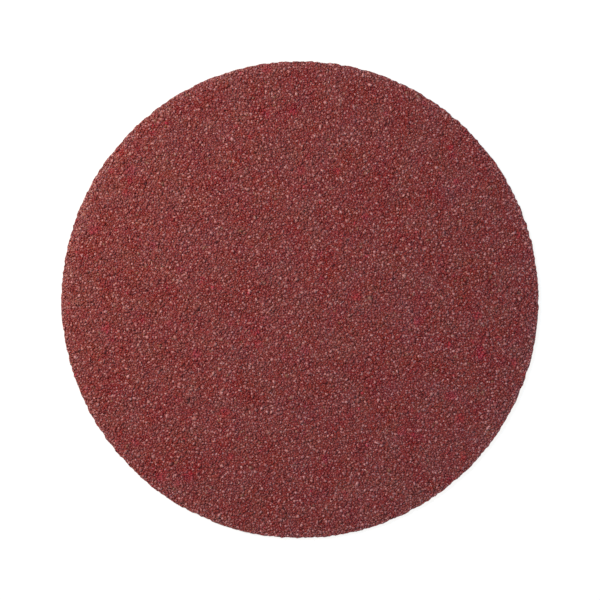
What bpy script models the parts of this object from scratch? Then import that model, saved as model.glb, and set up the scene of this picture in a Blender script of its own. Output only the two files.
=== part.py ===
"""Hook and loop sanding disc: three round plies that are laminated and then cut out together.

From the top down these are the abrasive coat, which is grit set in hard resin, the paper that
carries it, and the knitted loop fabric that a sander's hooked pad grips.

The disc lies on its loops. The origin is the centre of the loop side, +Z is the disc's axis and
points out of the grit, and +X runs along the ribs of the knit. Lengths are in metres.
"""

import math
import random

import bmesh
import bpy
from mathutils import Vector
from mathutils.geometry import delaunay_2d_cdt

# The outline that all three plies share
DISC_DIAMETER = 0.125
RIM_POINTS = 180

# The plies, from the loop side up
LOOP_THICKNESS = 0.0006
PAPER_THICKNESS = 0.00035
RESIN_THICKNESS = 0.00028

# Ribs of the knit: flat lands that the disc rests on, with a V groove between each pair
RIB_PITCH = 0.0014
GROOVE_WIDTH = 0.0006
GROOVE_DEPTH = 0.00022

# Grit: three-sided points that stand side by side, with uneven dips between them
GRIT_PITCH = 0.0021
GRIT_LOWEST = 0.0003
GRIT_HIGHEST = 0.0008
DIP_HIGHEST = 0.00014
DIP_SCATTER = 0.00065
TIP_LEAST_SHARE = 0.25
GRIT_SEED = 40

# Grains at the rim that the cutting die broke away
RIM_CHIP_DEPTH = 0.00025

# Colours in linear light, and how rough each surface is
GRIT_COLOUR = (0.200, 0.048, 0.045, 1.0)
GRIT_ROUGHNESS = 0.5
PAPER_COLOUR = (0.330, 0.190, 0.105, 1.0)
PAPER_ROUGHNESS = 0.85
LOOP_COLOUR = (0.640, 0.600, 0.530, 1.0)
LOOP_ROUGHNESS = 0.95

# Edges that fold by more than this stay sharp where a ply is shaded smooth
SHARP_ANGLE = math.radians(30)

DISC_RADIUS = DISC_DIAMETER / 2
PAPER_BOTTOM = LOOP_THICKNESS
COAT_BOTTOM = PAPER_BOTTOM + PAPER_THICKNESS
RESIN_TOP = COAT_BOTTOM + RESIN_THICKNESS


def clear_scene():
    for obj in list(bpy.data.objects):
        bpy.data.objects.remove(obj, do_unlink=True)


def ply_material(name, colour, roughness):
    material = bpy.data.materials.new(name)
    material.use_nodes = True
    shader = material.node_tree.nodes["Principled BSDF"]
    shader.inputs["Base Color"].default_value = colour
    shader.inputs["Roughness"].default_value = roughness
    shader.inputs["Metallic"].default_value = 0.0
    return material


def place_ply(name, bm, material):
    """Turns the finished bmesh into the scene's object of this name."""
    bmesh.ops.recalc_face_normals(bm, faces=bm.faces)
    mesh = bpy.data.meshes.new(name)
    bm.to_mesh(mesh)
    bm.free()
    mesh.materials.append(material)
    ply = bpy.data.objects.new(name, mesh)
    bpy.context.scene.collection.objects.link(ply)
    return ply


def shade_edge_round(ply):
    """Smooths the cut edge of a ply and leaves its two faces flat."""
    ply.data.shade_smooth()
    ply.data.set_sharp_from_angle(angle=SHARP_ANGLE)


def rim_direction(index):
    angle = 2 * math.pi * index / RIM_POINTS
    return Vector((math.cos(angle), math.sin(angle), 0.0))


def rim_ring(bm, z):
    """The corners of the disc's outline at one height."""
    return [bm.verts.new(rim_direction(i) * DISC_RADIUS + Vector((0.0, 0.0, z))) for i in range(RIM_POINTS)]


def wall_between(bm, lower, upper):
    """The cut edge of a ply, from its lower ring of corners to its upper one."""
    for i in range(RIM_POINTS):
        j = (i + 1) % RIM_POINTS
        bm.faces.new((lower[i], lower[j], upper[j], upper[i]))


def flat_ply(bottom, thickness):
    """A plain round ply, and its lower face."""
    bm = bmesh.new()
    lower = rim_ring(bm, bottom)
    upper = rim_ring(bm, bottom + thickness)
    wall_between(bm, lower, upper)
    underside = bm.faces.new(lower)
    bm.faces.new(upper)
    return bm, underside


def knit_height(y):
    """Height of the loop side at this distance across the ribs: 0 on a land, and a V between two."""
    from_land = abs(y - RIB_PITCH * round(y / RIB_PITCH))
    into_groove = from_land - (RIB_PITCH - GROOVE_WIDTH) / 2
    return GROOVE_DEPTH * max(0.0, into_groove) / (GROOVE_WIDTH / 2)


def knit_lines():
    """Where the loop side folds: both edges and the root of each groove that crosses the disc."""
    grooves = math.ceil(DISC_DIAMETER / RIB_PITCH)
    roots = [RIB_PITCH * (k + 0.5) for k in range(-grooves, grooves)]
    lines = [root + step * GROOVE_WIDTH / 2 for root in roots for step in (-1, 0, 1)]
    return [y for y in lines if abs(y) < DISC_RADIUS]


def make_loop_backing():
    """The knitted fabric. Its loop side is ribbed, and its upper side is glued flat to the paper."""
    bm, underside = flat_ply(0.0, LOOP_THICKNESS)
    strips = [underside]
    for y in knit_lines():
        edges = {edge for face in strips for edge in face.edges}
        cut = bmesh.ops.bisect_plane(
            bm,
            geom=strips + list(edges),
            plane_co=(0.0, y, 0.0),
            plane_no=(0.0, 1.0, 0.0),
        )
        strips = [item for item in cut["geom"] if isinstance(item, bmesh.types.BMFace)]
    corners = {corner for face in strips for corner in face.verts}
    for corner in corners:
        corner.co.z = knit_height(corner.co.y)
    ply = place_ply("loop_backing", bm, ply_material("loop_fabric", LOOP_COLOUR, LOOP_ROUGHNESS))
    shade_edge_round(ply)


def make_paper():
    bm, _ = flat_ply(PAPER_BOTTOM, PAPER_THICKNESS)
    ply = place_ply("backing_paper", bm, ply_material("paper", PAPER_COLOUR, PAPER_ROUGHNESS))
    shade_edge_round(ply)


def dip_places(draw):
    """Even but unruly places over the disc: a sunflower spiral, with each place shifted a little."""
    golden_angle = math.pi * (3 - math.sqrt(5))
    # There are two grit points to each dip, because every triangle between three dips holds one.
    area_each = 2 * GRIT_PITCH**2
    reach = DISC_RADIUS - RIM_CHIP_DEPTH - GRIT_PITCH / 2 - DIP_SCATTER
    places = []
    for k in range(round(math.pi * reach**2 / area_each)):
        radius = math.sqrt((k + 0.5) * area_each / math.pi)
        turn = k * golden_angle
        shift_angle = draw.uniform(0, 2 * math.pi)
        shift = draw.uniform(0, DIP_SCATTER)
        x = radius * math.cos(turn) + shift * math.cos(shift_angle)
        y = radius * math.sin(turn) + shift * math.sin(shift_angle)
        places.append(Vector((x, y, 0.0)))
    return places


def chipped_rim(draw):
    """The upper corners of the coat's cut edge, drawn in where grains broke away."""
    return [rim_direction(i) * (DISC_RADIUS - draw.uniform(0, RIM_CHIP_DEPTH)) for i in range(RIM_POINTS)]


def add_grit_point(bm, corners, height, draw):
    """One three-sided point over the triangle between three dips, with its tip off centre."""
    shares = [draw.uniform(TIP_LEAST_SHARE, 1) for _ in corners]
    place = sum((corner.co * share for corner, share in zip(corners, shares)), Vector()) / sum(shares)
    tip = bm.verts.new((place.x, place.y, height))
    for i, corner in enumerate(corners):
        bm.faces.new((corner, corners[(i + 1) % len(corners)], tip))


def make_abrasive_coat():
    """Grit in resin: flat where it is bonded to the paper, and sharp points all over the top."""
    draw = random.Random(GRIT_SEED)
    places = chipped_rim(draw) + dip_places(draw)
    flat_places = [place.to_2d() for place in places]
    rim_edges = [(i, (i + 1) % RIM_POINTS) for i in range(RIM_POINTS)]
    only_inside = 1
    merge_distance = 0.0
    points, _, triangles, *_ = delaunay_2d_cdt(flat_places, rim_edges, [], only_inside, merge_distance)

    bm = bmesh.new()
    lower = rim_ring(bm, COAT_BOTTOM)
    dips = [bm.verts.new((p.x, p.y, RESIN_TOP + draw.uniform(0, DIP_HIGHEST))) for p in points]
    for triangle in triangles:
        height = RESIN_TOP + draw.uniform(GRIT_LOWEST, GRIT_HIGHEST)
        add_grit_point(bm, [dips[i] for i in triangle], height, draw)
    wall_between(bm, lower, dips[:RIM_POINTS])
    bm.faces.new(lower)
    place_ply("abrasive_coat", bm, ply_material("grit_in_resin", GRIT_COLOUR, GRIT_ROUGHNESS))


def main():
    clear_scene()
    make_loop_backing()
    make_paper()
    make_abrasive_coat()


main()
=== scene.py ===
"""Looks of the hook and loop sanding disc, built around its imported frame. Lengths are in metres.

The abrasive face is made grain by grain: sharp faceted grains stand side by side in a bed of
resin, and smaller ones fill the gaps between them. Under the paper, rows of small loops stand out
of a ribbed knit.
"""

import math

import bmesh
import bpy
import numpy as np
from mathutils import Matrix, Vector
from mathutils.kdtree import KDTree


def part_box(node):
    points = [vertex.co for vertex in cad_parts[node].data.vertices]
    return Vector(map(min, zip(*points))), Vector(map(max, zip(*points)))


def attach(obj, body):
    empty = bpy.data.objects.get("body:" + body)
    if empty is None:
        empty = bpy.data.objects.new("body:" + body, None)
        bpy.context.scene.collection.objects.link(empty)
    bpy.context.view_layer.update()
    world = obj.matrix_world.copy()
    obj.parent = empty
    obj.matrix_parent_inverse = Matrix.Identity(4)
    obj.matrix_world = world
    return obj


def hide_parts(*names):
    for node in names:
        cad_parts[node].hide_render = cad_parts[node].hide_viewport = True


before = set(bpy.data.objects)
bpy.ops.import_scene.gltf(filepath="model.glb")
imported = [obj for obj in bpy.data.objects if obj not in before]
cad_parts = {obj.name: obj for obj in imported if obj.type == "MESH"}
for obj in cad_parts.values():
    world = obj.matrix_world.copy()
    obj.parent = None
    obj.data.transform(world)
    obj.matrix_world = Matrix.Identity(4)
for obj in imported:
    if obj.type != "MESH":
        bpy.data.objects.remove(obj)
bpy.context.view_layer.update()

# The plies, as the frame has them
coat_low, coat_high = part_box("abrasive_coat")
paper_low, paper_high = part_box("backing_paper")
loop_low, loop_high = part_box("loop_backing")
DISC_RADIUS = (coat_high.x - coat_low.x) / 2

# Resin between the grains: how thick it is, how far it wells up here and there, and the least
# that is left of it where the edge is pressed down
RESIN_THICKNESS = 0.00045
RESIN_SWELL = 0.00008
RESIN_LEAST = 0.00010
BED_CELLS = 150

# Grains that stand side by side, and the smaller ones that fill the gaps between them
GRAIN_SPACING = 0.00072
GRAIN_WIDTH = 0.00074
GRAIN_WIDTH_SPREAD = 0.16
LEAST_WIDTH_SHARE = 0.4
MOST_WIDTH_SHARE = 1.4
GRAIN_SHIFT = 0.36
FILLER_SPACING = 0.00038
FILLER_LEAST_WIDTH = 0.00026
FILLER_MOST_WIDTH = 0.00056
FILLER_OVERLAP = 0.00012

# How a grain is shaped, and how much of it the resin holds
GRAIN_CORNERS = (8, 9, 10)
FILLER_CORNERS = (6, 7)
FORMS_OF_EACH = 14
CORNER_SHIFT = 0.38
CORNER_REACH = (0.86, 1.10)
LONGEST_STRETCH = 1.28
LYING_SHARE = 0.75
SUNK_SHARE = 0.53
FILLER_SUNK_SHARE = 0.25

# The cut edge: how many chips of each kind there are round it, and how deep the deepest are.
# Resin, paper and knit end just inside the grains.
RIM_CHIPS = ((40, 0.00005), (200, 0.00013), (500, 0.00040))
CHIP_RARITY = 2
RESIN_INSET = 0.00006
PLY_INSET = 0.00034

# How far inside the cut line the edge looks to be, because of the gaps between the grains there
RIM_GAPS = 0.00020

# The die also pressed the coat down along its edge. Near the edge the tips are painted paler too, as
# painted light standing in for the light that the pale floor throws up there
PRESSED_WIDTH = 0.0036
PRESSED_DEPTH = 0.00060
EDGE_LIGHT_WIDTH = 0.0040
EDGE_PAINTED_LIGHT = 0.36

# Colours in linear light, and the gloss of the grains' facets
GRAIN_COLOUR = (0.2295, 0.0276, 0.0252)
# The small grains in the gaps are painted lighter than the rest: painted light that lifts the shade
# between the grains
FILLER_COLOUR_WITH_PAINTED_LIGHT = (0.280, 0.0330, 0.0300)
TONE_SPREAD = 0.05
GRAIN_IOR = 1.47
GLOSSIEST = 0.36
DULLEST = 0.58
GLOSS_PATCH = 0.0006
PIT_SIZE = 0.00012
PIT_DEPTH = 0.000005

# Where a grain's tip pokes through the resin it is paler, and the paleness also stands in for the glints
# of light on the tips as a painted highlight: some tips a lot, most a little, and those of the small
# grains in the gaps hardly at all
TIP_AND_GLINT_COLOUR = (0.63, 0.285, 0.276, 1.0)
TIP_DEPTH = 0.000055
TIP_START = 0.1
TIP_END = 0.8
TIP_RARITY = 2.9
FILLER_TIPS = 0.25

# Pale tips keep apart: each grain is weighed against so many neighbours, so many times
NEIGHBOURS = 6
SCATTER_ROUNDS = 2

# Slow changes of hue, colourfulness and brightness over the face
PATCH_SIZE = 0.005
PATCH_DETAIL = 4.0
HUE_CHANGE = 0.007
SATURATION_CHANGE = 0.09
VALUE_CHANGE = 0.05

# Odd grains, and small blotches of redder ones
RED_COLOUR = (0.42, 0.030, 0.050)
RED_SHARE = 0.002
BROWN_COLOUR = (0.24, 0.080, 0.050)
BROWN_SHARE = 0.010
PALE_COLOUR = (0.42, 0.150, 0.130)
PALE_SHARE = 0.010
BLOTCH_COLOUR = (0.33, 0.026, 0.036)
BLOTCH_COUNT = 90
BLOTCH_WIDTH = 0.0024
BLOTCH_WIDTH_SHARES = (0.5, 1.5)
BLOTCH_DEPTH = 0.7

# The resin, painted lighter than the grains as painted light in the shaded gaps between them: how much
# lighter and darker it gets in places, and its fine ripples
RESIN_COLOUR_WITH_PAINTED_LIGHT = (0.265, 0.0320, 0.0290, 1.0)
RESIN_ROUGHNESS = 0.35
RESIN_TONES = (0.75, 1.25)
RESIN_TONE_SIZE = 0.0008
RIPPLE_SIZE = 0.0003
RIPPLE_DEPTH = 0.00004

# The paper and its fibres
PAPER_COLOUR = (0.300, 0.165, 0.095, 1.0)
PAPER_ROUGHNESS = 0.85
PAPER_TONES = (0.7, 1.2)
PAPER_TONE_SIZE = 0.0004
FIBRE_SIZE = 0.00015
FIBRE_DEPTH = 0.00003
FIBRE_DETAIL = 6.0

# The knit and its yarn
KNIT_COLOUR = (0.620, 0.585, 0.520, 1.0)
KNIT_ROUGHNESS = 0.9
KNIT_TONES = (0.88, 1.06)
KNIT_TONE_SIZE = 0.0009
KNIT_TONE_DETAIL = 4.0
KNIT_SHEEN = 0.3
KNIT_SHEEN_ROUGHNESS = 0.5
STITCH_DEPTH = 0.00008
FUZZ_SIZE = 0.00006
FUZZ_DEPTH = 0.00001

# The paper's cut edge
PAPER_POINTS = 720
PAPER_RINGS = 6
PAPER_ROUNDING = 0.00004
PAPER_FUR = 0.00002

# Edges that fold by more than this stay sharp where a piece is shaded smooth
SHARP_ANGLE = math.radians(40)

# The part of a copy's cell in the UV map that stays empty on each side
CELL_MARGIN = 0.12

# The knit: its ribs run along X, and loops hang from them in rows. Each loop starts at its foot,
# so many degrees above its widest level, and leans over by a share of its height.
RIB_PITCH = 0.0014
RIB_HEIGHT = 0.00022
RIB_STEPS = 8
KNIT_COLUMNS = 48
PILE_ROOM = 0.00012
STITCH_LENGTH = 0.0011
LOOP_SPACING = 0.00138
LOOP_SCATTER = 0.00034
LOOP_WIDTH = 0.00088
LOOP_WIDTH_SHARES = (0.75, 1.25)
LOOP_THREAD = 0.000065
LOOP_LEAN = (0.7, 1.5)
LOOP_START = (55, 78)
LOOP_STEPS = 8
LOOP_SIDES = 3
LOOP_FORMS = 12

# The photograph: its width in pixels, the disc's mean diameter in it, and how far the disc's
# centre lies above the photograph's
PHOTO_WIDTH = 600
PHOTO_DIAMETER = 476.8
PHOTO_RISE = 0.4
LENS = 85.0
SENSOR = 36.0
NEAREST_SEEN = 0.01

# Light on a flat white sheet at the disc, where 1 is white. Behind the warm lamp, on the same
# side, a cooler one stands farther off, so the light turns cooler away from them.
KEY_LEVEL = 0.46
KEY_COLOUR = (1.0, 0.60, 0.18)
KEY_AZIMUTH = math.radians(152)
KEY_ELEVATION = math.radians(45)
KEY_DISTANCE = 0.34
KEY_SIZE = 0.12
SKY_LEVEL = 0.50
SKY_COLOUR = (0.35, 0.65, 1.0)
SKY_AZIMUTH = math.radians(140)
SKY_ELEVATION = math.radians(48)
SKY_DISTANCE = 1.0
SKY_SIZE = 0.36
COOL_LEVEL = 0.05
COOL_COLOUR = (0.35, 0.60, 1.0)
COOL_AZIMUTH = math.radians(-20)
COOL_ELEVATION = math.radians(30)
COOL_DISTANCE = 0.32
COOL_SIZE = 0.15
FILL_LEVEL = 0.30
FILL_COLOUR = (1.0, 0.99, 0.97, 1.0)

# The studio floor, which curves up into a low wall all round
FLOOR_RADIUS = 3.0
FLOOR_CURVE = 0.6
WALL_HEIGHT = 1.0
FLOOR_CURVE_STEP = 15
FLOOR_STEPS = 48
FLOOR_WELD = 0.0001
FLOOR_ROUGHNESS = 0.9
FLOOR_COLOUR = (0.20, 0.20, 0.20, 1.0)
GLOW_COLOUR = (1.0, 0.99, 0.975, 1.0)
GLOW_NEAR = 0.89
GLOW_FAR = 1.03
GLOW_START = 0.06
GLOW_END = 0.50

# Plain noise lies mostly between these
NOISE_LOW = 0.3
NOISE_HIGH = 0.7

# Lengths below this count as none, so that nothing is divided by zero
LEAST_REACH = 1e-9
LEAST_FLAT = 1e-6

# Each kind of detail has a series of random numbers of its own
RIM_SEED = 36
PLACE_SEED = 36
FILLER_SEED = 37
GRAIN_SEED = 38
RESIN_SEED = 46
BLOTCH_SEED = 47
PAPER_SEED = 48
LOOP_SEED = 56


def new_material(name, colour, roughness):
    material = bpy.data.materials.new(name)
    material.use_nodes = True
    shader = material.node_tree.nodes["Principled BSDF"]
    shader.inputs["Base Color"].default_value = colour
    shader.inputs["Roughness"].default_value = roughness
    return material, material.node_tree, shader


def place_node(tree):
    """A node whose Object output is the point's place in metres."""
    return tree.nodes.new("ShaderNodeTexCoord")


def ramp(tree, source, start, end, low, high):
    """Brings what lies between start and end to between low and high, and holds it there."""
    spread = tree.nodes.new("ShaderNodeMapRange")
    spread.inputs["From Min"].default_value = start
    spread.inputs["From Max"].default_value = end
    spread.inputs["To Min"].default_value = low
    spread.inputs["To Max"].default_value = high
    tree.links.new(source, spread.inputs["Value"])
    return spread.outputs["Result"]


def attribute_node(tree, name):
    node = tree.nodes.new("ShaderNodeAttribute")
    node.attribute_name = name
    return node


def noise_between(tree, size, low, high, detail=2.0, layer=0.0):
    """Noise whose lumps are about this size, between two values. Each layer has lumps of its own."""
    noise = tree.nodes.new("ShaderNodeTexNoise")
    noise.noise_dimensions = "4D"
    noise.inputs["W"].default_value = layer
    noise.inputs["Scale"].default_value = 1 / size
    noise.inputs["Detail"].default_value = detail
    tree.links.new(place_node(tree).outputs["Object"], noise.inputs["Vector"])
    return ramp(tree, noise.outputs["Fac"], NOISE_LOW, NOISE_HIGH, low, high)


def vary_colour(tree, source, **changes):
    """A colour with small changes of its hue, saturation and value, each given as an output."""
    change = tree.nodes.new("ShaderNodeHueSaturation")
    for name, output in changes.items():
        tree.links.new(output, change.inputs[name.capitalize()])
    if isinstance(source, tuple):
        change.inputs["Color"].default_value = source
    else:
        tree.links.new(source, change.inputs["Color"])
    return change.outputs["Color"]


def add_bump(tree, shader, height, depth):
    bump = tree.nodes.new("ShaderNodeBump")
    bump.inputs["Distance"].default_value = depth
    tree.links.new(height, bump.inputs["Height"])
    tree.links.new(bump.outputs["Normal"], shader.inputs["Normal"])


def grit_material():
    """Grains under a skin of resin: each has its own tint and a paler tip, partly a painted highlight, and
    gloss varies.
    """
    material, tree, shader = new_material("grit", (*GRAIN_COLOUR, 1.0), DULLEST)
    tint = attribute_node(tree, "tint")
    patched = vary_colour(
        tree,
        tint.outputs["Color"],
        hue=noise_between(tree, PATCH_SIZE, 0.5 - HUE_CHANGE, 0.5 + HUE_CHANGE, PATCH_DETAIL, layer=1),
        saturation=noise_between(
            tree, PATCH_SIZE, 1 - SATURATION_CHANGE, 1 + SATURATION_CHANGE, PATCH_DETAIL, layer=2
        ),
        value=noise_between(tree, PATCH_SIZE, 1 - VALUE_CHANGE, 1 + VALUE_CHANGE, PATCH_DETAIL, layer=3),
    )
    near_tip = attribute_node(tree, "near_tip").outputs["Fac"]
    # The tips are painted paler: partly bare grain, partly a painted highlight standing in for glints
    tip_paleness_and_glint = ramp(tree, near_tip, TIP_START, TIP_END, 0.0, 1.0)
    blend = tree.nodes.new("ShaderNodeMixRGB")
    tree.links.new(math_node(tree, "MULTIPLY", tip_paleness_and_glint, tint.outputs["Alpha"]), blend.inputs["Fac"])
    tree.links.new(patched, blend.inputs["Color1"])
    blend.inputs["Color2"].default_value = TIP_AND_GLINT_COLOUR
    tree.links.new(blend.outputs["Color"], shader.inputs["Base Color"])
    gloss = noise_between(tree, GLOSS_PATCH, GLOSSIEST, DULLEST)
    tree.links.new(gloss, shader.inputs["Roughness"])
    shader.inputs["IOR"].default_value = GRAIN_IOR
    add_bump(tree, shader, noise_between(tree, PIT_SIZE, 0.0, 1.0), PIT_DEPTH)
    return material


def resin_material():
    material, tree, shader = new_material("resin", RESIN_COLOUR_WITH_PAINTED_LIGHT, RESIN_ROUGHNESS)
    tones = noise_between(tree, RESIN_TONE_SIZE, *RESIN_TONES)
    uneven = vary_colour(tree, RESIN_COLOUR_WITH_PAINTED_LIGHT, value=tones)
    tree.links.new(uneven, shader.inputs["Base Color"])
    add_bump(tree, shader, noise_between(tree, RIPPLE_SIZE, 0.0, 1.0), RIPPLE_DEPTH)
    return material


def paper_material():
    """Heavy brown paper, uneven in tone and a little rough with fibres."""
    material, tree, shader = new_material("paper", PAPER_COLOUR, PAPER_ROUGHNESS)
    tones = noise_between(tree, PAPER_TONE_SIZE, *PAPER_TONES, detail=FIBRE_DETAIL)
    fibres = vary_colour(tree, PAPER_COLOUR, value=tones)
    tree.links.new(fibres, shader.inputs["Base Color"])
    add_bump(tree, shader, noise_between(tree, FIBRE_SIZE, 0.0, 1.0, detail=FIBRE_DETAIL), FIBRE_DEPTH)
    return material


def math_node(tree, operation, first, second=None):
    """The output of one sum, whose terms are outputs or plain numbers."""
    node = tree.nodes.new("ShaderNodeMath")
    node.operation = operation
    for socket, term in zip(node.inputs, (first, second)):
        if isinstance(term, (int, float)):
            socket.default_value = term
        elif term is not None:
            tree.links.new(term, socket)
    return node.outputs["Value"]


def stitch_height(tree):
    """Rows of small chevrons along the ribs, as the stitches of a knit make them."""
    axes = tree.nodes.new("ShaderNodeSeparateXYZ")
    tree.links.new(place_node(tree).outputs["Object"], axes.inputs["Vector"])
    across = math_node(tree, "PINGPONG", axes.outputs["Y"], RIB_PITCH / 2)
    along = math_node(tree, "ADD", axes.outputs["X"], across)
    turn = math_node(tree, "MULTIPLY", along, 2 * math.pi / STITCH_LENGTH)
    return math_node(tree, "SINE", turn)


def fabric_material(name, stitched):
    """Off-white polyester yarn: dull, a little fuzzy, and uneven in tone."""
    material, tree, shader = new_material(name, KNIT_COLOUR, KNIT_ROUGHNESS)
    tones = noise_between(tree, KNIT_TONE_SIZE, *KNIT_TONES, detail=KNIT_TONE_DETAIL)
    uneven = vary_colour(tree, KNIT_COLOUR, value=tones)
    tree.links.new(uneven, shader.inputs["Base Color"])
    shader.inputs["Sheen Weight"].default_value = KNIT_SHEEN
    shader.inputs["Sheen Roughness"].default_value = KNIT_SHEEN_ROUGHNESS
    if stitched:
        add_bump(tree, shader, stitch_height(tree), STITCH_DEPTH)
    else:
        add_bump(tree, shader, noise_between(tree, FUZZ_SIZE, 0.0, 1.0), FUZZ_DEPTH)
    return material


def sphere_spread(count):
    """Directions spread evenly over a ball along a spiral."""
    steps = np.arange(count) + 0.5
    height = 1 - 2 * steps / count
    turn = steps * math.pi * (3 - math.sqrt(5))
    flat = np.sqrt(1 - height**2)
    return np.stack([flat * np.cos(turn), flat * np.sin(turn), height], axis=1)


def grain_form(draw, corners):
    """One blocky grain, the hull round some uneven corners, with the volume of a ball of unit radius."""
    points = sphere_spread(corners) + draw.normal(0, CORNER_SHIFT, (corners, 3))
    points /= np.linalg.norm(points, axis=1)[:, None]
    points *= draw.uniform(*CORNER_REACH, (corners, 1))
    bm = bmesh.new()
    for point in points:
        bm.verts.new(point)
    bmesh.ops.convex_hull(bm, input=bm.verts)
    loose = [vert for vert in bm.verts if not vert.link_faces]
    bmesh.ops.delete(bm, geom=loose, context="VERTS")
    bmesh.ops.triangulate(bm, faces=bm.faces)
    bmesh.ops.recalc_face_normals(bm, faces=bm.faces)
    bm.verts.index_update()
    verts = np.array([vert.co for vert in bm.verts])
    faces = np.array([[vert.index for vert in face.verts] for face in bm.faces])
    ball_share = bm.calc_volume() / (4 / 3 * math.pi)
    bm.free()
    return verts / ball_share ** (1 / 3), faces


def random_turns(draw, count):
    """Rotation matrices spread evenly over all directions."""
    q = draw.normal(size=(count, 4))
    w, x, y, z = (q / np.linalg.norm(q, axis=1)[:, None]).T
    rows = [
        [1 - 2 * (y * y + z * z), 2 * (x * y - w * z), 2 * (x * z + w * y)],
        [2 * (x * y + w * z), 1 - 2 * (x * x + z * z), 2 * (y * z - w * x)],
        [2 * (x * z - w * y), 2 * (y * z + w * x), 1 - 2 * (x * x + y * y)],
    ]
    return np.array(rows).transpose(2, 0, 1)


def turns_about_z(angles):
    """Rotation matrices about the disc's axis."""
    cos, sin = np.cos(angles), np.sin(angles)
    zero, one = np.zeros_like(angles), np.ones_like(angles)
    rows = [[cos, -sin, zero], [sin, cos, zero], [zero, zero, one]]
    return np.array(rows).transpose(2, 0, 1)


def lattice(spacing, shift, draw):
    """Places over the disc's square on a hexagonal lattice, each shifted at random."""
    reach = math.ceil(DISC_RADIUS / spacing) + 1
    row_gap = spacing * math.sqrt(3) / 2
    rows = math.ceil(DISC_RADIUS / row_gap) + 1
    j, i = np.meshgrid(np.arange(-rows, rows + 1), np.arange(-reach, reach + 1), indexing="ij")
    x = (i + (j % 2) / 2) * spacing
    y = j * row_gap
    places = np.stack([x.ravel(), y.ravel()], axis=1)
    return places + draw.uniform(-shift, shift, places.shape) * spacing


def rim_radius(angles):
    """How far out the cut edge is in each direction."""
    draw = np.random.default_rng(RIM_SEED)
    radius = np.full(np.shape(angles), DISC_RADIUS)
    for count, depth in RIM_CHIPS:
        around = np.linspace(-math.pi, math.pi, count, endpoint=False)
        chips = depth * draw.uniform(0, 1, count) ** CHIP_RARITY
        radius -= np.interp(angles, around, chips, period=2 * math.pi)
    return radius


def trim_to_rim(points, inset=0.0):
    """Pulls what reaches past the cut edge back to it, as the die cut it off."""
    flat = points[..., :2]
    reach = np.linalg.norm(flat, axis=-1)
    edge = rim_radius(np.arctan2(flat[..., 1], flat[..., 0])) - inset
    flat *= np.minimum(1, edge / np.maximum(reach, LEAST_REACH))[..., None]


def near_rim(points, width):
    """How near to the cut edge each point is: 0 from this width inwards, and 1 at the edge."""
    reach = np.linalg.norm(points[..., :2], axis=-1)
    return np.clip(1 - (DISC_RADIUS - reach) / width, 0, 1)


def press_edge(points):
    """Lowers the coat towards its cut edge, as far as the paper at most."""
    drop = PRESSED_DEPTH * near_rim(points, PRESSED_WIDTH) ** 2
    points[..., 2] = np.maximum(points[..., 2] - drop, coat_low.z)


def ball_uv(directions):
    """Spreads a ball's surface over a round spot, from its top in the middle to its foot."""
    unit = directions / np.linalg.norm(directions, axis=-1)[..., None]
    reach = np.sqrt(np.clip((1 - unit[..., 2]) / 2, 0, 1))
    flat = np.linalg.norm(unit[..., :2], axis=-1)
    spot = unit[..., :2] * (reach / np.maximum(flat, LEAST_FLAT))[..., None]
    return 0.5 + 0.5 * spot


class Copies:
    """Many turned and stretched copies of a few forms, gathered for one mesh."""

    def __init__(self):
        self.verts = []
        self.faces = []
        self.owners = []
        self.spots = []
        self.size = 0

    def add(self, points, faces, owners, spots):
        copies, corners = points.shape[:2]
        starts = self.size + np.arange(copies)[:, None, None] * corners
        self.verts.append(points.reshape(-1, 3))
        self.faces.append((starts + faces[None]).reshape(-1, faces.shape[1]))
        self.owners.append(np.repeat(owners, corners))
        self.spots.append(spots.reshape(-1, 2))
        self.size += copies * corners

    def to_piece(self, name, material, count):
        """The mesh object, whose UV map has a cell for each copy."""
        verts = np.concatenate(self.verts)
        faces = np.concatenate(self.faces)
        owners = np.concatenate(self.owners)
        side = math.ceil(math.sqrt(count))
        cell = np.stack([owners % side, owners // side], axis=1)
        uv = (cell + CELL_MARGIN + (1 - 2 * CELL_MARGIN) * np.concatenate(self.spots)) / side
        piece = mesh_piece(name, verts, faces, material)
        unwrapped = piece.data.uv_layers.new(name="OFBake")
        unwrapped.uv.foreach_set("vector", uv[faces].astype(np.float32).ravel())
        return piece


def mesh_piece(name, verts, faces, material):
    """A mesh object made from an array of places and an array of faces of one size."""
    mesh = bpy.data.meshes.new(name)
    corners = faces.shape[1]
    mesh.vertices.add(len(verts))
    mesh.vertices.foreach_set("co", verts.astype(np.float32).ravel())
    mesh.loops.add(faces.size)
    mesh.loops.foreach_set("vertex_index", faces.astype(np.int32).ravel())
    mesh.polygons.add(len(faces))
    mesh.polygons.foreach_set("loop_start", np.arange(0, faces.size, corners, dtype=np.int32))
    mesh.update(calc_edges=True)
    return piece_of(mesh, material)


def piece_of(mesh, material):
    mesh.materials.append(material)
    piece = bpy.data.objects.new(mesh.name, mesh)
    bpy.context.scene.collection.objects.link(piece)
    return piece


def scattered_shares(draw, places):
    """A share from 0 to 1 for each place, all sizes alike often, unlike those of its neighbours."""
    count = len(places)
    tree = KDTree(count)
    for index, (x, y) in enumerate(places):
        tree.insert((x, y, 0.0), index)
    tree.balance()
    shares = draw.uniform(0, 1, count)
    others = np.array([
        [index for _, index, _ in tree.find_n((x, y, 0.0), NEIGHBOURS + 1)[1:]] for x, y in places
    ])
    for _ in range(SCATTER_ROUNDS):
        unlike = shares - shares[others].mean(axis=1)
        shares = unlike.argsort().argsort() / (count - 1)
    return shares


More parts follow.
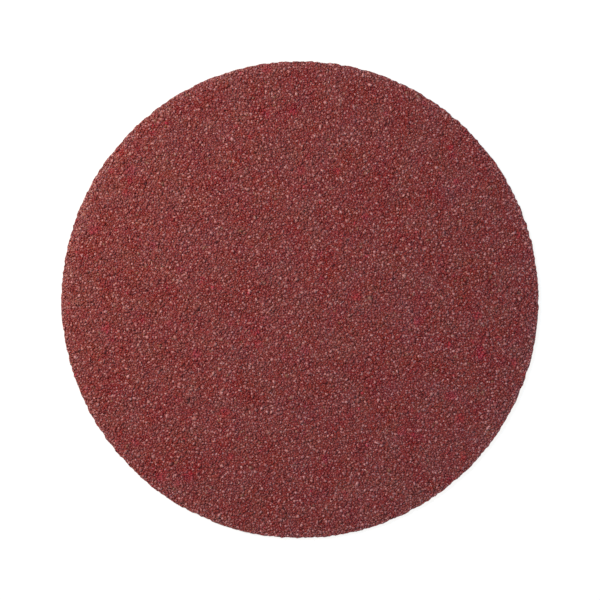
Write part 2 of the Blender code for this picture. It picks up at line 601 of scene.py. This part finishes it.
def blotch_shares(places):
    """How red each place is: 1 in the inner half of a blotch, and 0 outside them all."""
    draw = np.random.default_rng(BLOTCH_SEED)
    reach = DISC_RADIUS * np.sqrt(draw.uniform(0, 1, BLOTCH_COUNT))
    turn = draw.uniform(0, 2 * math.pi, BLOTCH_COUNT)
    widths = BLOTCH_WIDTH * draw.uniform(*BLOTCH_WIDTH_SHARES, BLOTCH_COUNT)
    nearest = np.zeros(len(places))
    for x, y, width in zip(reach * np.cos(turn), reach * np.sin(turn), widths):
        away = np.linalg.norm(places - (x, y), axis=1)
        inside = 1 - 2 * away / width
        nearest = np.maximum(nearest, np.clip(2 * inside, 0, 1))
    return nearest


def grain_tints(draw, places, plain_colour):
    """A colour for each grain: brick red, with a few odd grains and with redder blotches."""
    count = len(places)
    tones = np.exp(draw.normal(0, TONE_SPREAD, count))
    tints = np.array(plain_colour) * tones[:, None]
    kind = draw.uniform(0, 1, count)
    start = 0.0
    for colour, share in ((RED_COLOUR, RED_SHARE), (BROWN_COLOUR, BROWN_SHARE), (PALE_COLOUR, PALE_SHARE)):
        tints[(kind >= start) & (kind < start + share)] = colour
        start += share
    return tints + blotch_shares(places)[:, None] * (np.array(BLOTCH_COLOUR) - tints)


def paint_grains(piece, colours, near_tips):
    """Stores each corner's colour and paleness, and how near it is to its grain's tip."""
    tint = piece.data.color_attributes.new("tint", "FLOAT_COLOR", "POINT")
    tint.data.foreach_set("color", np.concatenate(colours).astype(np.float32).ravel())
    near_tip = piece.data.attributes.new("near_tip", "FLOAT", "POINT")
    near_tip.data.foreach_set("value", np.concatenate(near_tips).astype(np.float32))


def paint_tints(draw, places, colour, tips):
    """Each grain's colour, and as its fourth value how pale its tip is, partly as a painted highlight and
    along the edge as painted light.
    """
    tints = np.ones((len(places), 4))
    tints[:, :3] = grain_tints(draw, places, colour)
    tints[:, 3] = tips * scattered_shares(draw, places) ** TIP_RARITY
    # Painted light: tips near the edge are painted paler, for the light thrown up from the floor
    tints[:, 3] += EDGE_PAINTED_LIGHT * near_rim(places, EDGE_LIGHT_WIDTH) ** 2
    tints[:, 3] *= 1 - BLOTCH_DEPTH * blotch_shares(places)
    return tints


def seat_grains(points, sunk_share):
    """Flattens the grains and sets them in the resin. Returns how near each corner is to its tip."""
    points[..., 2] *= LYING_SHARE
    height = np.ptp(points[..., 2], axis=1)
    points[..., 2] *= np.minimum(1, (coat_high.z - coat_low.z) / height)[:, None]
    low = points[..., 2].min(axis=1)
    high = points[..., 2].max(axis=1)
    near_tip = 1 - (high[:, None] - points[..., 2]) / TIP_DEPTH
    lift = coat_low.z + RESIN_THICKNESS - low - sunk_share * (high - low)
    lift = np.clip(lift, coat_low.z - low, coat_high.z - high)
    points[..., 2] += lift[:, None]
    return np.clip(near_tip, 0, 1).ravel()


def grow_grains(name, places, widths, corner_counts, sunk_share, colour, tips, material, seed):
    """A piece of many grains: hulls that are turned at random and stand partly in the resin."""
    draw = np.random.default_rng(seed)
    forms = [grain_form(draw, corners) for corners in corner_counts for _ in range(FORMS_OF_EACH)]
    count = len(places)
    kinds = draw.integers(0, len(forms), count)
    turns = random_turns(draw, count)
    stretches = np.exp(draw.uniform(-1, 1, (count, 3)) * math.log(LONGEST_STRETCH))
    tints = paint_tints(draw, places, colour, tips)
    copies = Copies()
    colours = []
    near_tips = []
    for kind, (form, faces) in enumerate(forms):
        mine = np.flatnonzero(kinds == kind)
        shaped = form[None] * stretches[mine][:, None, :]
        points = np.einsum("nij,nvj->nvi", turns[mine], shaped) * widths[mine][:, None, None] / 2
        spots = ball_uv(points)
        near_tips.append(seat_grains(points, sunk_share))
        colours.append(np.repeat(tints[mine], len(form), axis=0))
        points[..., :2] += places[mine][:, None, :]
        trim_to_rim(points)
        press_edge(points)
        copies.add(points, faces, mine, spots)
    piece = copies.to_piece(name, material, count)
    paint_grains(piece, colours, near_tips)
    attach(piece, "root")
    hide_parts("abrasive_coat")
    return piece


def lay_grains():
    """Where the side by side grains stand, and how wide each is."""
    draw = np.random.default_rng(PLACE_SEED)
    places = lattice(GRAIN_SPACING, GRAIN_SHIFT, draw)
    shares = np.clip(draw.normal(1, GRAIN_WIDTH_SPREAD, len(places)), LEAST_WIDTH_SHARE, MOST_WIDTH_SHARE)
    widths = GRAIN_WIDTH * shares
    inside = np.linalg.norm(places, axis=1) < DISC_RADIUS - widths / 4
    return places[inside], widths[inside]


def lay_fillers(places, widths):
    """Where small grains fill the gaps between the others, and how wide each is."""
    draw = np.random.default_rng(FILLER_SEED)
    tree = KDTree(len(places))
    for index, (x, y) in enumerate(places):
        tree.insert((x, y, 0.0), index)
    tree.balance()
    candidates = lattice(FILLER_SPACING, GRAIN_SHIFT, draw)
    candidates = candidates[np.linalg.norm(candidates, axis=1) < DISC_RADIUS - FILLER_LEAST_WIDTH / 2]
    room = np.empty(len(candidates))
    for k, (x, y) in enumerate(candidates):
        near = tree.find_n((x, y, 0.0), 3)
        room[k] = min(distance - widths[index] / 2 for _, index, distance in near)
    fills = 2 * (room + FILLER_OVERLAP)
    kept = fills > FILLER_LEAST_WIDTH
    return candidates[kept], np.minimum(fills[kept], FILLER_MOST_WIDTH)


def make_grit(material):
    """All the grains, in four pieces by size."""
    places, widths = lay_grains()
    filler_places, filler_widths = lay_fillers(places, widths)
    groups = (
        ("grit_coarse", "grit_medium", places, widths, GRAIN_CORNERS, SUNK_SHARE, GRAIN_COLOUR, 1.0),
        (
            "grit_small", "grit_fine", filler_places, filler_widths,
            FILLER_CORNERS, FILLER_SUNK_SHARE, FILLER_COLOUR_WITH_PAINTED_LIGHT, FILLER_TIPS,
        ),
    )
    seed = GRAIN_SEED
    for larger, smaller, where, wide, *looks in groups:
        middle = np.median(wide)
        for name, chosen in ((larger, wide > middle), (smaller, wide <= middle)):
            grow_grains(name, where[chosen], wide[chosen], *looks, material, seed)
            seed += 1


def disc_grid(cells):
    """A square grid of points mapped onto a disc of unit radius, with even cells."""
    line = np.linspace(-1, 1, cells + 1)
    a, b = np.meshgrid(line, line)
    wide = np.abs(a) > np.abs(b)
    reach = np.where(wide, a, b)
    share = np.where(wide, b, a) / np.where(reach == 0, 1, reach)
    turn = np.where(wide, share, 2 - share) * math.pi / 4
    return np.stack([reach * np.cos(turn), reach * np.sin(turn)], axis=-1)


def grid_faces(rows, columns):
    """Quads between the points of a grid that is stored row by row."""
    index = np.arange(rows * columns).reshape(rows, columns)
    return np.stack([index[:-1, :-1], index[:-1, 1:], index[1:, 1:], index[1:, :-1]], -1).reshape(-1, 4)


def grid_border(rows, columns):
    """The points round the edge of such a grid, in order."""
    index = np.arange(rows * columns).reshape(rows, columns)
    return np.concatenate([index[0, :-1], index[:-1, -1], index[-1, :0:-1], index[:0:-1, 0]])


def close_under(name, verts, quads, border, closing_z, material):
    """A solid piece: a skin, a wall from the skin's border, and one flat face that closes it."""
    closing = verts[border].copy()
    closing[:, 2] = closing_z
    lower = len(verts) + np.arange(len(border))
    walls = np.stack([border, lower, np.roll(lower, -1), np.roll(border, -1)], axis=1)
    mesh = bpy.data.meshes.new(name)
    faces = [*quads.tolist(), *walls.tolist(), lower[::-1].tolist()]
    mesh.from_pydata(np.concatenate([verts, closing]).tolist(), [], faces)
    bm = bmesh.new()
    bm.from_mesh(mesh)
    bmesh.ops.recalc_face_normals(bm, faces=bm.faces)
    bm.to_mesh(mesh)
    bm.free()
    mesh.shade_smooth()
    mesh.set_sharp_from_angle(angle=SHARP_ANGLE)
    piece = piece_of(mesh, material)
    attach(piece, "root")
    return piece


def make_resin_bed():
    """The resin that holds the grains: an uneven skin down to the paper."""
    draw = np.random.default_rng(RESIN_SEED)
    side = BED_CELLS + 1
    verts = np.zeros((side * side, 3))
    verts[:, :2] = disc_grid(BED_CELLS).reshape(-1, 2) * DISC_RADIUS
    trim_to_rim(verts, RESIN_INSET)
    verts[:, 2] = coat_low.z + RESIN_THICKNESS + draw.uniform(0, RESIN_SWELL, len(verts))
    press_edge(verts)
    verts[:, 2] = np.maximum(verts[:, 2], coat_low.z + RESIN_LEAST)
    border = grid_border(side, side)
    piece = close_under("resin_bed", verts, grid_faces(side, side), border, coat_low.z, resin_material())
    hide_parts("abrasive_coat")


def knit_height(y):
    """Height of the knit's lower skin at this distance across the ribs."""
    wave = (1 - np.cos(2 * math.pi * y / RIB_PITCH)) / 2
    return loop_low.z + PILE_ROOM + RIB_HEIGHT * wave


def make_knit_base():
    """The ribbed knit, which is glued flat to the paper."""
    ribs = DISC_RADIUS * 2 / RIB_PITCH
    rows = math.ceil(ribs * RIB_STEPS)
    y = np.linspace(-1, 1, rows + 2)[1:-1] * DISC_RADIUS
    half = np.sqrt(DISC_RADIUS**2 - y**2)
    share = np.linspace(-1, 1, KNIT_COLUMNS)
    verts = np.zeros((rows, KNIT_COLUMNS, 3))
    verts[..., 0] = half[:, None] * share[None]
    verts[..., 1] = y[:, None]
    verts[..., 2] = knit_height(y)[:, None]
    trim_to_rim(verts, PLY_INSET)
    faces = grid_faces(rows, KNIT_COLUMNS)
    border = grid_border(rows, KNIT_COLUMNS)
    fabric = fabric_material("knit", stitched=True)
    piece = close_under("knit_base", verts.reshape(-1, 3), faces, border, loop_high.z, fabric)
    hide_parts("loop_backing")
    return piece


def loop_form(draw):
    """One loop of thread that hangs from z = 0: its feet stand close and its belly is wide."""
    start = math.radians(draw.uniform(*LOOP_START))
    turn = np.linspace(start, -math.pi - start, LOOP_STEPS + 1)
    lean = draw.uniform(*LOOP_LEAN)
    path = np.stack([np.cos(turn) / 2, lean * (np.sin(turn) - math.sin(start)) / 2, np.sin(turn) / 2], 1)
    path[:, 2] -= path[0, 2]
    along = np.gradient(path, axis=0)
    along /= np.linalg.norm(along, axis=1)[:, None]
    side = np.cross(along, (0.0, 1.0, 0.0))
    side /= np.linalg.norm(side, axis=1)[:, None]
    other = np.cross(along, side)
    return path, side, other


def loop_faces():
    """Quads of a tube with a ring of points at each step."""
    faces = []
    for step in range(LOOP_STEPS):
        for k in range(LOOP_SIDES):
            a = step * LOOP_SIDES + k
            b = step * LOOP_SIDES + (k + 1) % LOOP_SIDES
            faces.append((a, b, b + LOOP_SIDES, a + LOOP_SIDES))
    return np.array(faces)


def hang_loops(name, places, material, draw):
    """A piece of many loops of yarn under the knit, each squeezed flat and turned its own way."""
    count = len(places)
    kinds = draw.integers(0, LOOP_FORMS, count)
    turns = turns_about_z(draw.uniform(0, 2 * math.pi, count))
    widths = LOOP_WIDTH * draw.uniform(*LOOP_WIDTH_SHARES, count)
    roots = knit_height(places[:, 1]) + LOOP_THREAD
    ring = np.linspace(0, 2 * math.pi, LOOP_SIDES, endpoint=False)
    faces = loop_faces()
    copies = Copies()
    for kind in range(LOOP_FORMS):
        path, side, other = loop_form(draw)
        mine = np.flatnonzero(kinds == kind)
        middle = path[None] * widths[mine][:, None, None]
        drop = -middle[..., 2].min(axis=1)
        room = roots[mine] - loop_low.z - LOOP_THREAD
        middle[..., 2] *= (room / drop)[:, None]
        skin = [LOOP_THREAD * (np.cos(a) * side + np.sin(a) * other) for a in ring]
        yarn = np.repeat(middle, LOOP_SIDES, axis=1) + np.stack(skin, axis=1).reshape(1, -1, 3)
        points = np.einsum("nij,nvj->nvi", turns[mine], yarn)
        spots = ball_uv(points - points.mean(axis=1)[:, None])
        points[..., :2] += places[mine][:, None, :]
        points[..., 2] += roots[mine][:, None]
        points[..., 2] = np.maximum(points[..., 2], loop_low.z)
        trim_to_rim(points, PLY_INSET)
        copies.add(points, faces, mine, spots)
    pile = copies.to_piece(name, material, count)
    pile.data.shade_smooth()
    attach(pile, "root")
    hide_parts("loop_backing")
    return pile


def make_loop_pile(knit):
    """Small loops of yarn along the ribs, squeezed flat by the disc's weight, in two pieces."""
    draw = np.random.default_rng(LOOP_SEED)
    material = fabric_material("pile", stitched=False)
    ribs = np.arange(-math.floor(DISC_RADIUS / RIB_PITCH), math.floor(DISC_RADIUS / RIB_PITCH) + 1)
    steps = np.arange(-math.floor(DISC_RADIUS / LOOP_SPACING), math.floor(DISC_RADIUS / LOOP_SPACING) + 1)
    x, y = np.meshgrid(steps * LOOP_SPACING, ribs * RIB_PITCH)
    x = x + (ribs % 2)[:, None] * LOOP_SPACING / 2
    places = np.stack([x.ravel(), y.ravel()], axis=1)
    places += draw.uniform(-LOOP_SCATTER, LOOP_SCATTER, places.shape)
    places = places[np.linalg.norm(places, axis=1) < DISC_RADIUS - LOOP_WIDTH / 2]
    near = places[:, 1] < 0
    piles = [
        hang_loops("loop_pile_near", places[near], material, draw),
        hang_loops("loop_pile_far", places[~near], material, draw),
    ]


def make_paper():
    """The heavy paper: flat on both sides, and a little furred and rounded along its cut edge."""
    draw = np.random.default_rng(PAPER_SEED)
    angles = np.linspace(-math.pi, math.pi, PAPER_POINTS, endpoint=False)
    edge = rim_radius(angles) - PLY_INSET
    bm = bmesh.new()
    rings = []
    for share in np.linspace(0, 1, PAPER_RINGS):
        rounding = PAPER_ROUNDING * abs(2 * share - 1) ** 4
        radius = edge - rounding - draw.uniform(0, PAPER_FUR, PAPER_POINTS)
        z = paper_low.z + share * (paper_high.z - paper_low.z)
        rings.append([bm.verts.new((r * math.cos(a), r * math.sin(a), z)) for r, a in zip(radius, angles)])
    for lower, upper in zip(rings, rings[1:]):
        for i in range(PAPER_POINTS):
            bm.faces.new((lower[i - 1], lower[i], upper[i], upper[i - 1]))
    bm.faces.new(rings[0][::-1])
    bm.faces.new(rings[-1])
    mesh = bpy.data.meshes.new("paper_sheet")
    bm.to_mesh(mesh)
    bm.free()
    mesh.shade_smooth()
    mesh.set_sharp_from_angle(angle=SHARP_ANGLE)
    piece = piece_of(mesh, paper_material())
    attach(piece, "root")
    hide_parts("backing_paper")


def floor_material():
    """A pale floor that the camera sees as white, with the object's shadow on it.

    Its glow grows away from the disc, because the lamps light only what is near them.
    """
    material, tree, shader = new_material("floor", FLOOR_COLOUR, FLOOR_ROUGHNESS)
    rays = tree.nodes.new("ShaderNodeLightPath")
    seen = math_node(tree, "ADD", rays.outputs["Is Camera Ray"], rays.outputs["Is Glossy Ray"])
    seen = math_node(tree, "ADD", seen, rays.outputs["Is Transmission Ray"])
    away = tree.nodes.new("ShaderNodeVectorMath")
    away.operation = "LENGTH"
    tree.links.new(place_node(tree).outputs["Object"], away.inputs[0])
    glow = ramp(tree, away.outputs["Value"], GLOW_START, GLOW_END, GLOW_NEAR, GLOW_FAR)
    shader.inputs["Emission Color"].default_value = GLOW_COLOUR
    tree.links.new(math_node(tree, "MULTIPLY", seen, glow), shader.inputs["Emission Strength"])
    return material


def make_floor():
    """A round floor that curves up into a low wall, so that every side view is backed."""
    bm = bmesh.new()
    curve = [math.radians(angle) for angle in range(0, 91, FLOOR_CURVE_STEP)]
    profile = [(0.0, 0.0)]
    profile += [
        (FLOOR_RADIUS + FLOOR_CURVE * math.sin(angle), FLOOR_CURVE * (1 - math.cos(angle)))
        for angle in curve
    ]
    profile.append((FLOOR_RADIUS + FLOOR_CURVE, WALL_HEIGHT))
    verts = [bm.verts.new((x, 0.0, z)) for x, z in profile]
    edges = [bm.edges.new(pair) for pair in zip(verts, verts[1:])]
    bmesh.ops.spin(
        bm, geom=verts + edges, cent=(0, 0, 0), axis=(0, 0, 1), angle=2 * math.pi, steps=FLOOR_STEPS
    )
    bmesh.ops.remove_doubles(bm, verts=bm.verts, dist=FLOOR_WELD)
    bmesh.ops.recalc_face_normals(bm, faces=bm.faces)
    mesh = bpy.data.meshes.new("floor")
    bm.to_mesh(mesh)
    bm.free()
    mesh.shade_smooth()
    piece_of(mesh, floor_material())


def make_camera():
    """Straight above the disc, with the disc as wide and as high in the frame as in the photograph."""
    data = bpy.data.cameras.new("camera")
    data.lens = LENS
    data.sensor_width = SENSOR
    data.clip_start = NEAREST_SEEN
    camera = bpy.data.objects.new("camera", data)
    mean_chips = sum(depth for _, depth in RIM_CHIPS) / (1 + CHIP_RARITY)
    mean_radius = DISC_RADIUS - mean_chips - RIM_GAPS
    pixel = 2 * mean_radius / PHOTO_DIAMETER
    height = PHOTO_WIDTH * pixel * LENS / SENSOR
    camera.location = (0.0, -PHOTO_RISE * pixel, coat_high.z + height)
    bpy.context.scene.collection.objects.link(camera)
    bpy.context.scene.camera = camera


def add_lamp(name, level, colour, azimuth, elevation, distance, size):
    """A round soft lamp that lights a flat white sheet at the disc to this level."""
    direction = Vector((
        math.cos(azimuth) * math.cos(elevation),
        math.sin(azimuth) * math.cos(elevation),
        math.sin(elevation),
    ))
    data = bpy.data.lights.new(name, "AREA")
    data.shape = "DISK"
    data.size = size
    data.color = colour
    data.energy = level * (math.pi * distance) ** 2 / math.sin(elevation)
    lamp = bpy.data.objects.new(name, data)
    lamp.location = direction * distance
    lamp.rotation_euler = direction.to_track_quat("Z", "Y").to_euler()
    lamp.visible_camera = False
    bpy.context.scene.collection.objects.link(lamp)


def make_lights():
    """Two soft lamps at the upper left, a faint cool one at the right, and an even fill."""
    add_lamp("key", KEY_LEVEL, KEY_COLOUR, KEY_AZIMUTH, KEY_ELEVATION, KEY_DISTANCE, KEY_SIZE)
    add_lamp("sky", SKY_LEVEL, SKY_COLOUR, SKY_AZIMUTH, SKY_ELEVATION, SKY_DISTANCE, SKY_SIZE)
    add_lamp("cool", COOL_LEVEL, COOL_COLOUR, COOL_AZIMUTH, COOL_ELEVATION, COOL_DISTANCE, COOL_SIZE)
    world = bpy.data.worlds.new("studio")
    world.use_nodes = True
    background = world.node_tree.nodes["Background"]
    background.inputs["Color"].default_value = FILL_COLOUR
    background.inputs["Strength"].default_value = FILL_LEVEL
    bpy.context.scene.world = world


make_camera()
make_lights()
make_floor()
make_grit(grit_material())
make_resin_bed()
make_paper()
make_loop_pile(make_knit_base())
bpy.context.scene.view_settings.view_transform = "Standard"
